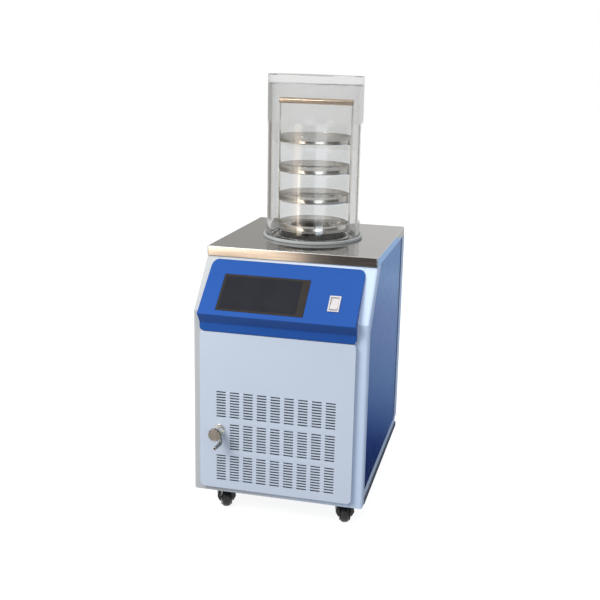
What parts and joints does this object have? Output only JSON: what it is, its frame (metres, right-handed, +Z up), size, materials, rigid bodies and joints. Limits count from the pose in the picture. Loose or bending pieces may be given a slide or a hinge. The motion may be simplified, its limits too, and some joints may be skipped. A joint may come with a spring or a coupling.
{
  "type": "laboratory freeze dryer",
  "caption": "Floor-standing laboratory freeze dryer: blue and white cabinet on casters, sloping console, steel top, and a clear chamber with a rack of round trays.",
  "frame": {"origin": "on the floor, at the middle of the whole object's length and width", "axes": "+Z up, X across the front, front faces -Y, so the console, the louvred panel and the drain valve are on the -Y side"},
  "size_m": [0.454, 0.6542, 1.151],
  "materials": {
    "white_paint": "satin powder coat",
    "panel_paint": "satin powder coat",
    "dark_paint": "satin powder coat",
    "blue_paint": "satin powder coat",
    "blue_fascia": "satin powder coat",
    "steel": "bright rolled stainless",
    "chrome": "polished plate",
    "zinc": "zinc plate",
    "clear_acrylic": "clear cast acrylic",
    "silicone": "moulded silicone",
    "window": "dark glossy window",
    "pale_plastic": "satin moulding",
    "black_nylon": "moulded nylon",
    "black_enamel": "black enamel",
    "copper": "drawn copper tube",
    "foam": "closed-cell foam",
    "board": "circuit board in a carrier"
  },
  "bodies": {
    "cabinet": {"base_pan": "white_paint", "base_skid": "dark_paint", "front_post_left": "white_paint", "front_post_right": "white_paint", "front_top_rail": "white_paint", "side_panel_left": "blue_paint", "side_panel_right": "blue_paint", "rear_cover": "white_paint", "top_plate": "steel", "front_panel": "panel_paint", "console_fascia": "blue_fascia", "display_window": "window", "display_module": "board", "switch_bezel": "pale_plastic", "drain_valve_body": "chrome", "drain_valve_outlet": "zinc", "chamber_seal": "silicone", "chamber_tube": "clear_acrylic", "chamber_lid": "clear_acrylic", "rack_base_ring": "steel", "rack_top_bar": "steel", "rack_rod_right": "steel", "rack_rod_left": "steel", "tray_1": "steel", "tray_2": "steel", "tray_3": "steel", "tray_4": "steel", "cold_trap_pot": "steel", "evaporator_coil": "copper", "trap_insulation": "foam", "vacuum_pipe": "steel", "drain_hose": "silicone", "condenser": "black_enamel", "fan_shroud": "black_enamel", "fan_motor": "black_enamel", "compressor": "black_enamel", "power_inlet": "black_nylon", "caster_plate_front_left": "zinc", "caster_plate_front_right": "zinc", "caster_plate_rear_left": "zinc", "caster_plate_rear_right": "zinc"},
    "rocker": {"switch_rocker": "pale_plastic"},
    "valve_knob": {"drain_valve_knob": "zinc"},
    "fan": {"fan_blades": "black_nylon"},
    "caster_front_left": {"caster_fork_front_left": "black_nylon", "caster_axle_front_left": "zinc"},
    "wheel_front_left": {"caster_wheel_front_left": "black_nylon"},
    "caster_front_right": {"caster_fork_front_right": "black_nylon", "caster_axle_front_right": "zinc"},
    "wheel_front_right": {"caster_wheel_front_right": "black_nylon"},
    "caster_rear_left": {"caster_fork_rear_left": "black_nylon", "caster_axle_rear_left": "zinc"},
    "wheel_rear_left": {"caster_wheel_rear_left": "black_nylon"},
    "caster_rear_right": {"caster_fork_rear_right": "black_nylon", "caster_axle_rear_right": "zinc"},
    "wheel_rear_right": {"caster_wheel_rear_right": "black_nylon"}
  },
  "joints": [
    {"name": "switch_rock", "type": "hinge", "parent": "cabinet", "child": "rocker", "pos_m": [0.1355, -0.24712, 0.60379], "axis": [1, 0, 0], "range_deg": [0, 16]},
    {"name": "valve_turn", "type": "hinge", "parent": "cabinet", "child": "valve_knob", "pos_m": [-0.1525, -0.27488, 0.253], "axis": [0, 1, 0], "range_deg": [0, 720]},
    {"name": "fan_spin", "type": "hinge", "parent": "cabinet", "child": "fan", "pos_m": [0.018, -0.17988, 0.1918], "axis": [0, 1, 0], "continuous": true},
    {"name": "caster_swivel_front_left", "type": "hinge", "parent": "cabinet", "child": "caster_front_left", "pos_m": [-0.165, -0.18488, 0.064], "axis": [0, 0, 1], "continuous": true},
    {"name": "wheel_roll_front_left", "type": "hinge", "parent": "caster_front_left", "child": "wheel_front_left", "pos_m": [-0.15884, -0.2018, 0.024], "axis": [-0.9397, -0.342, 0], "continuous": true},
    {"name": "caster_swivel_front_right", "type": "hinge", "parent": "cabinet", "child": "caster_front_right", "pos_m": [0.165, -0.18488, 0.064], "axis": [0, 0, 1], "continuous": true},
    {"name": "wheel_roll_front_right", "type": "hinge", "parent": "caster_front_right", "child": "wheel_front_right", "pos_m": [0.16966, -0.20227, 0.024], "axis": [-0.9659, -0.2588, 0], "continuous": true},
    {"name": "caster_swivel_rear_left", "type": "hinge", "parent": "cabinet", "child": "caster_rear_left", "pos_m": [-0.165, 0.24912, 0.064], "axis": [0, 0, 1], "continuous": true},
    {"name": "wheel_roll_rear_left", "type": "hinge", "parent": "caster_rear_left", "child": "wheel_rear_left", "pos_m": [-0.1675, 0.23129, 0.024], "axis": [-0.9903, 0.1392, 0], "continuous": true},
    {"name": "caster_swivel_rear_right", "type": "hinge", "parent": "cabinet", "child": "caster_rear_right", "pos_m": [0.165, 0.24912, 0.064], "axis": [0, 0, 1], "continuous": true},
    {"name": "wheel_roll_rear_right", "type": "hinge", "parent": "caster_rear_right", "child": "wheel_rear_right", "pos_m": [0.17289, 0.23294, 0.024], "axis": [-0.8988, -0.4384, 0], "continuous": true}
  ]
}
